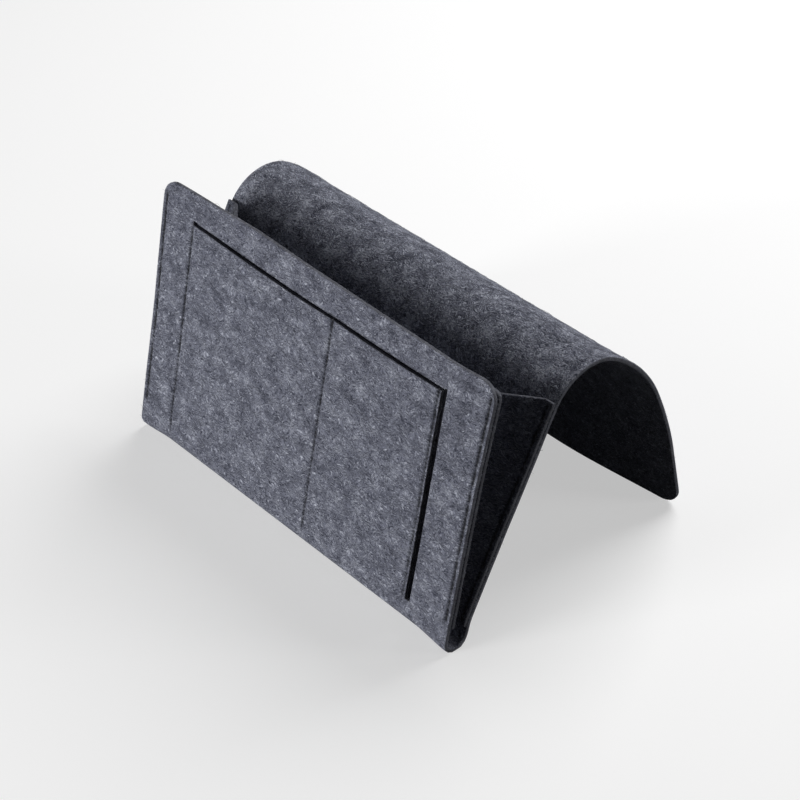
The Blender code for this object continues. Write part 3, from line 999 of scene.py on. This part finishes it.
class GussetHalf:
    """Half a gusset in its flat cut: the flange, the fold beside it and the panel up to the crease."""

    def __init__(self, end, where):
        own, sheet_sizes = sizes("gusset"), sizes("sheet")
        self.own = own
        self.felt = sheet_sizes.felt
        self.end = end
        self.sheet = MainSheet()
        if where == "front":
            self.wall, self.up, self.inward = "front_wall", front_up, front_inward
            self.to_along = self.sheet.along_front
            self.top, self.top_corner = sheet_sizes.front_height - own.front_below_rim, own.flange_corner
        else:
            self.wall, self.up, self.inward = "back_wall", rear_up, rear_inward
            self.to_along = self.sheet.along_rear
            self.top, self.top_corner = own.rear_top, 0
        tilt = math.acos(math.cos(own.half_angle) / math.cos(half_mouth))
        self.turn = math.pi / 2 - math.atan2(math.tan(tilt), math.sin(half_mouth))
        self.half_bend = own.fold_rounding * math.tan(self.turn / 2)
        self.fold = fold_meeting + bag_right * end * gusset_fold_across

    def lay(self, flat):
        """Flat points (across from the fold, height, depth to the gusset's outer side) to the world."""
        across, height, depth = flat.T
        rounding = self.own.fold_rounding
        share = np.clip((across + self.half_bend) / (2 * self.half_bend), 0, 1)
        angle = share * self.turn
        middle = self.felt / 2
        bend_across = -self.half_bend + np.sin(angle) * (rounding + middle)
        bend_inward = rounding - np.cos(angle) * (rounding + middle)
        before = np.minimum(across + self.half_bend, 0)
        after = np.maximum(across - self.half_bend, 0)
        across_out = bend_across + before + after * math.cos(self.turn) - np.sin(angle) * depth
        inward_out = bend_inward + after * math.sin(self.turn) + np.cos(angle) * depth
        to_crease = smooth(across, 0, self.own.crease_top * math.sin(self.own.half_angle))
        on_wall = self.end * (gusset_fold_across - np.minimum(across, 0))
        inward_out = inward_out + (1 - to_crease) * self.sheet.drape(on_wall, self.to_along(height))
        moves = ((across_out, bag_right * -self.end), (inward_out, self.inward), (height, self.up))
        return np.array(self.fold) + sum(far[:, None] * np.array(way) for far, way in moves)

    def outline(self):
        """The flat cut, its crease edge run on to where the two halves' middles meet, with a round end."""
        own = self.own
        slope = Vector((math.sin(own.half_angle), math.cos(own.half_angle)))
        outward = Vector((slope.y, -slope.x))
        meeting = self.felt / 2 * (math.tan(math.pi / 2 - self.turn) + 1)
        crease_top = slope * own.crease_top + outward * meeting
        crease_foot = slope * (own.foot / slope.y) + outward * meeting
        return [
            (-own.flange, own.foot - own.foot_slant, 0),
            (0, own.foot, 0),
            (crease_foot.x, own.foot, 0),
            (crease_top.x, crease_top.y, 0),
            (0, self.top, 0),
            (-own.flange, self.top, self.top_corner),
        ]

    def flat_area(self):
        points = [Vector(each[:2]) for each in self.outline()]
        pairs = zip(points, points[1:] + points[:1])
        return abs(sum(a.x * b.y - a.y * b.x for a, b in pairs)) / 2


def gusset_halves():
    """Each gusset half with its name."""
    for end, side in ((-1, "left"), (1, "right")):
        for where in ("front", "rear"):
            yield side + "_gusset_" + where, GussetHalf(end, where)


def gusset_span(half, name):
    """A gusset half's two bodies, and where its bend beside the flange starts and ends."""
    across = bag_right * -half.end * math.cos(half.turn / 2) + half.inward * math.sin(half.turn / 2)
    reach = half.felt * 0.8
    return half.wall, name, half.fold - across * reach, half.fold + across * reach


class MakeGussets(bpy.types.Operator):
    """Makes the folded gusset at each end, as the two halves on either side of its crease"""

    bl_idname = "felt_bag.gussets"
    bl_label = "Gussets"

    def execute(self, context):
        own = sizes("gusset")
        # The gusset felt is 0.80 of the main felt: partly its own darker felt, partly painted shade for the
        # shadow inside the folded gussets.
        felt = felt_material("gusset_felt_marl", 0.80)
        for name, half in gusset_halves():
            outline = half.outline()
            seam = (-own.flange + own.edge_seam, own.foot, half.top - own.edge_seam, 1.0)
            loops = [rounded_corners(outline, sizes("sheet").spacing)]
            piece = felt_piece(name + "_half", loops, half.lay, [seam], 1)
            piece.data.materials.append(felt)
            blend_over(piece, gusset_span(half, name))
            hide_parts(name + "_flange", name + "_panel")
            half.flat_area()
        return {"FINISHED"}


def new_tree(name, **inputs):
    """A geometry node group with a mesh in and out, and inputs named with underscores for spaces."""
    tree = bpy.data.node_groups.new(name, "GeometryNodeTree")
    for way in ("INPUT", "OUTPUT"):
        tree.interface.new_socket("Geometry", in_out=way, socket_type="NodeSocketGeometry")
    for label, kind in inputs.items():
        tree.interface.new_socket(label.replace("_", " "), in_out="INPUT", socket_type="NodeSocket" + kind)
    return tree, tree.nodes.new("NodeGroupInput").outputs, tree.nodes.new("NodeGroupOutput")


def run_tree(tree, source, name, values):
    """Runs a tree on an object and returns the result as a plain mesh object. The source is removed."""
    modifier = source.modifiers.new("nodes", "NODES")
    modifier.node_group = tree
    for item in tree.interface.items_tree:
        if item.in_out == "INPUT" and item.name in values:
            modifier[item.identifier] = values[item.name]
    evaluated = source.evaluated_get(bpy.context.evaluated_depsgraph_get())
    mesh = bpy.data.meshes.new_from_object(evaluated)
    mesh.name = name
    made = add_object(name, mesh)
    bpy.data.objects.remove(source, do_unlink=True)
    return made


def arc_strand(tree, corners, steps, radius, sides):
    """A strand with closed ends along an arc that three corners give."""
    start, middle, end = corners
    arc = add_node(tree, "GeometryNodeCurveQuadraticBezier", Start=start, Middle=middle, End=end)
    set_inputs(tree, arc, Resolution=steps)
    section = add_node(tree, "GeometryNodeCurvePrimitiveCircle", Resolution=sides, Radius=radius)
    curves = {"Curve": arc.outputs["Curve"], "Profile_Curve": section.outputs["Curve"]}
    return add_node(tree, "GeometryNodeCurveToMesh", Fill_Caps=True, **curves).outputs["Mesh"]


def finish_tree(tree, result, material, **copying):
    """Copies a strand onto points, makes the copies real and gives them their material."""
    copies = add_node(tree, "GeometryNodeInstanceOnPoints", **copying).outputs["Instances"]
    real = add_node(tree, "GeometryNodeRealizeInstances", Geometry=copies).outputs["Geometry"]
    painted = add_node(tree, "GeometryNodeSetMaterial", Geometry=real, Material=material)
    set_inputs(tree, result, Geometry=painted.outputs["Geometry"])
    return tree


def stitch_tree(material):
    """Stitches along a line: each is a thread that rises from one needle hole and dives into the next."""
    floats = dict.fromkeys(("Stitch_length", "Thread_radius", "Rise", "Dive"), "Float")
    tree, given, result = new_tree("lockstitch", **floats, Face_direction="Vector")
    stitch, dive = given["Stitch length"], given["Dive"]
    line = add_node(tree, "GeometryNodeMeshToCurve", Mesh=given["Geometry"]).outputs["Curve"]
    steps = add_node(tree, "GeometryNodeResampleCurve", mode="LENGTH", Curve=line, Length=stitch)
    points = add_node(tree, "GeometryNodeCurveToPoints", mode="EVALUATED", Curve=steps.outputs[0]).outputs
    align = "FunctionNodeAlignRotationToVector"
    along = add_node(tree, align, axis="X", Vector=points["Tangent"]).outputs["Rotation"]
    facing = add_node(tree, align, axis="Z", pivot_axis="X", Rotation=along, Vector=given["Face direction"])

    half = calculate(tree, "MULTIPLY", stitch, 0.5)
    sunk = calculate(tree, "MULTIPLY", dive, -1)
    start, end = [
        add_node(tree, "ShaderNodeCombineXYZ", X=calculate(tree, "MULTIPLY", half, sign), Z=sunk).outputs[0]
        for sign in (-1, 1)
    ]
    risen = calculate(tree, "MULTIPLY_ADD", given["Rise"], 2, dive)
    top = add_node(tree, "ShaderNodeCombineXYZ", Z=risen).outputs[0]
    thread = arc_strand(tree, (start, top, end), 7, given["Thread radius"], 6)
    turned = facing.outputs["Rotation"]
    return finish_tree(tree, result, material, Points=points["Points"], Instance=thread, Rotation=turned)


def fibre_tree(material):
    """Loose fibres strewn over a face: short arcs turned every way, of many lengths."""
    floats = dict.fromkeys(("Density", "Span", "Radius", "Lift", "Edge_gap", "Floor_gap"), "Float")
    tree, given, result = new_tree("loose_fibres", **floats, Seed="Int")
    draw, seed = "FunctionNodeRandomValue", given["Seed"]
    from_cut = add_node(tree, "GeometryNodeInputNamedAttribute", data_type="FLOAT", Name="from_cut")
    height = add_node(tree, "ShaderNodeSeparateXYZ", add_node(tree, "GeometryNodeInputPosition").outputs[0])
    measures = ((from_cut.outputs["Attribute"], given["Edge gap"]), (height.outputs["Z"], given["Floor gap"]))
    above = [
        add_node(tree, "FunctionNodeCompare", data_type="FLOAT", operation="GREATER_THAN", A=measure, B=least)
        for measure, least in measures
    ]
    clear = add_node(tree, "FunctionNodeBooleanMath", *[each.outputs["Result"] for each in above]).outputs[0]
    spots = add_node(tree, "GeometryNodeDistributePointsOnFaces", Mesh=given["Geometry"], Selection=clear)
    set_inputs(tree, spots, Density=given["Density"], Seed=seed)

    corners = []
    for shares in ((-0.5, 0, -0.5), (0.08, 0.34, 2.6), (0.5, -0.05, -0.5)):
        sources = zip((given["Span"], given["Span"], given["Lift"]), shares)
        parts = [calculate(tree, "MULTIPLY", source, share) for source, share in sources]
        corners.append(add_node(tree, "ShaderNodeCombineXYZ", *parts).outputs[0])
    hair = arc_strand(tree, corners, 5, given["Radius"], 3)

    angle = add_node(tree, draw, data_type="FLOAT", Max=2 * math.pi, Seed=seed).outputs["Value"]
    spin = add_node(tree, "FunctionNodeAxisAngleToRotation", Axis=(0, 0, 1), Angle=angle).outputs["Rotation"]
    turned = add_node(tree, "FunctionNodeRotateRotation", rotation_space="LOCAL", Rotate_By=spin)
    set_inputs(tree, turned, Rotation=spots.outputs["Rotation"])
    chance = add_node(tree, draw, data_type="FLOAT", Min=0.55, Max=1.25).outputs["Value"]
    placing = {"Points": spots.outputs["Points"], "Rotation": turned.outputs["Rotation"]}
    grown = calculate(tree, "POWER", chance, 2.2)
    return finish_tree(tree, result, material, Instance=hair, Scale=grown, **placing)


def seam_line(name, points):
    mesh = bpy.data.meshes.new(name)
    mesh.from_pydata(points, [(step, step + 1) for step in range(len(points) - 1)], [])
    return add_object(name, mesh)


def add_seam(tree, name, body, rows):
    """A seam's stitches on each face that shows them. rows are (points, face direction)."""
    own = sizes("seam")
    parts = []
    for points, facing in rows:
        seam_length = sum(math.dist(here, there) for here, there in zip(points, points[1:]))
        count = max(1, round(seam_length / own.stitch))
        values = {
            "Stitch length": seam_length / count,
            "Thread radius": own.thread,
            "Rise": own.thread * 0.4,
            "Dive": own.hole_depth + own.thread,
            "Face direction": facing,
        }
        parts.append(run_tree(tree, seam_line(name + "_line", points), name + "_row", values))
    joined = bmesh.new()
    for part in parts:
        joined.from_mesh(part.data)
    mesh = parts[0].data.copy()
    joined.to_mesh(mesh)
    joined.free()
    mesh.shade_smooth()
    for part in parts:
        bpy.data.objects.remove(part, do_unlink=True)
    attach(add_object(name, mesh), body)


class MakeSeams(bpy.types.Operator):
    """Sews the seven seams, stitch by stitch, on both faces of their layers"""

    bl_idname = "felt_bag.seams"
    bl_label = "Seams"

    def execute(self, context):
        sheet = MainSheet()
        own, layers = sizes("seam"), sizes("sheet")
        thread = strand_material("sewing_thread", own.colour, 0.55, 2 * own.thread, 2.0, 0.6, 0.1)
        tree = stitch_tree(thread)
        sunk = own.groove_depth
        half = layers.felt / 2
        outer = -half + sunk
        inner = half + layers.layer_gap + layers.felt - sunk

        def row(seam, depth):
            across, low, high, _ = seam
            along = np.linspace(low, high, max(2, round((high - low) / own.stitch)))
            flat = np.stack([np.full_like(along, across), along, np.full_like(along, depth)], 1)
            if depth < 0:
                flat[:, 2] += pocket_bow(sheet, flat)
            return [tuple(each) for each in sheet.lay(flat)]

        def sew(name, body, seam, inward):
            add_seam(tree, name, body, [(row(seam, outer), -inward), (row(seam, inner), inward)])

        for name, seam in pocket_seams(sheet).items():
            sew(name, "front_wall", seam, front_inward)
        for side, front, rear in zip(("left", "right"), front_edge_seams(sheet), rear_edge_seams(sheet)):
            sew(side + "_front_edge_seam", "front_wall", front, front_inward)
            sew(side + "_rear_edge_seam", "back_wall", rear, rear_inward)
        return {"FINISHED"}


class MakeFibres(bpy.types.Operator):
    """Strews loose fibres over every piece of felt, each following its own piece"""

    bl_idname = "felt_bag.fibres"
    bl_label = "Loose Fibres"

    def execute(self, context):
        own = sizes("fibre")
        tree = fibre_tree(strand_material("loose_fibre", own.colour, 0.35, own.span, 1.0, 0.8, 0.0))
        spans = main_sheet_spans(MainSheet())
        for seed, (name, span) in enumerate(spans.items()):
            growth = 1.0 if name == "front_and_fold" else own.arch_growth
            blend_over(self.strewn(own, tree, name, seed, growth), span)
        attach(self.strewn(own, tree, "pocket_backing_sheet", len(spans)), "front_wall")
        for seed, (name, half) in enumerate(gusset_halves(), len(spans) + 1):
            blend_over(self.strewn(own, tree, name + "_half", seed), gusset_span(half, name))
        return {"FINISHED"}

    def strewn(self, own, tree, name, seed, growth=1.0):
        """Fibres over a copy of a finished piece of felt."""
        source = add_object(name + "_copy", bpy.data.objects[name].data.copy())
        values = {
            "Density": own.density,
            "Span": own.span * growth,
            "Radius": own.radius * growth,
            "Lift": own.lift,
            "Edge gap": own.edge_gap,
            "Floor gap": own.floor_gap,
            "Seed": seed,
        }
        return run_tree(tree, source, name + "_fibres", values)


class MakeStage(bpy.types.Operator):
    """Makes the pale floor, the lamps and the camera"""

    bl_idname = "felt_bag.stage"
    bl_label = "Stage"

    def execute(self, context):
        own = sizes("stage")
        self.add_floor(own)
        self.add_sky(own)
        for name in ("front", "top", "side"):
            self.add_lamp(own, name)
        self.add_camera(own)
        context.scene.view_settings.view_transform = "Standard"
        return {"FINISHED"}

    def add_floor(self, own):
        mesh = bpy.data.meshes.new("floor")
        half = own.floor_size / 2
        corners = [(-half, -half, 0), (half, -half, 0), (half, half, 0), (-half, half, 0)]
        mesh.from_pydata(corners, [], [(0, 1, 2, 3)])
        material, tree, shader = new_material("pale_floor")
        rays = add_node(tree, "ShaderNodeLightPath").outputs
        seen = calculate(tree, "MAXIMUM", rays["Is Camera Ray"], rays["Is Glossy Ray"])
        tone = mix(tree, seen, (0.04, 0.04, 0.04, 1), (0.5, 0.5, 0.5, 1))
        glow = calculate(tree, "MULTIPLY", seen, 0.5)
        set_inputs(tree, shader, Base_Color=tone, Roughness=1.0, Specular_IOR_Level=0.0)
        set_inputs(tree, shader, Emission_Color=(1, 1, 1, 1), Emission_Strength=glow)
        mesh.materials.append(material)
        add_object("floor", mesh)

    def add_sky(self, own):
        world = bpy.data.worlds.new("studio")
        bpy.context.scene.world = world
        world.use_nodes = True
        tree = world.node_tree
        rays = add_node(tree, "ShaderNodeLightPath").outputs
        seen = calculate(tree, "MAXIMUM", rays["Is Camera Ray"], rays["Is Transmission Ray"])
        strength = add_node(tree, "ShaderNodeMix", seen, data_type="FLOAT")
        strength.inputs[2].default_value = own.sky
        strength.inputs[3].default_value = 1.0
        set_inputs(tree, tree.nodes["Background"], Strength=strength.outputs[0], Color=(1, 1, 1, 1))

    def add_lamp(self, own, name):
        lamp = bpy.data.lights.new(name + "_lamp", "AREA")
        lamp.shape = "RECTANGLE"
        lamp.size, lamp.size_y = getattr(own, name + "_sides")
        lamp.energy = getattr(own, name + "_power")
        stand = add_object(name + "_lamp", lamp)
        stand.location = getattr(own, name + "_place")
        middle = (cad_box[0] + cad_box[1]) / 2
        stand.rotation_euler = (middle - stand.location).to_track_quat("-Z", "Y").to_euler()

    def add_camera(self, own):
        camera = add_object("camera", bpy.data.cameras.new("camera"))
        camera.data.lens = own.lens
        camera.data.clip_start = 0.05
        turns = ((own.camera_azimuth, "Z"), (math.pi / 2 - own.camera_elevation, "X"), (own.camera_roll, "Z"))
        stand = Matrix.Translation(own.camera_place)
        for angle, axis in turns:
            stand = stand @ Matrix.Rotation(angle, 4, axis)
        camera.matrix_world = stand
        bpy.context.scene.camera = camera


class FeltBagPanel(bpy.types.Panel):
    """Lists the steps that build the bag"""

    bl_idname = "VIEW3D_PT_felt_bag"
    bl_label = "Felt Bag"
    bl_space_type = "VIEW_3D"
    bl_region_type = "UI"
    bl_category = "Felt Bag"

    def draw(self, context):
        for step in steps:
            self.layout.operator(step.bl_idname)


steps = (MakeMainSheet, MakePocketBacking, MakeGussets, MakeSeams, MakeFibres, MakeStage)


def register():
    for name, group in property_groups.items():
        bpy.utils.register_class(group)
        setattr(bpy.types.Scene, "felt_bag_" + name, bpy.props.PointerProperty(type=group))
    for each in steps + (FeltBagPanel,):
        bpy.utils.register_class(each)


def unregister():
    for each in reversed(steps + (FeltBagPanel,)):
        bpy.utils.unregister_class(each)
    for name, group in reversed(property_groups.items()):
        delattr(bpy.types.Scene, "felt_bag_" + name)
        bpy.utils.unregister_class(group)


def main():
    register()
    bpy.ops.felt_bag.main_sheet()
    bpy.ops.felt_bag.pocket_backing()
    bpy.ops.felt_bag.gussets()
    bpy.ops.felt_bag.seams()
    bpy.ops.felt_bag.fibres()
    bpy.ops.felt_bag.stage()


if __name__ == "__main__":
    main()
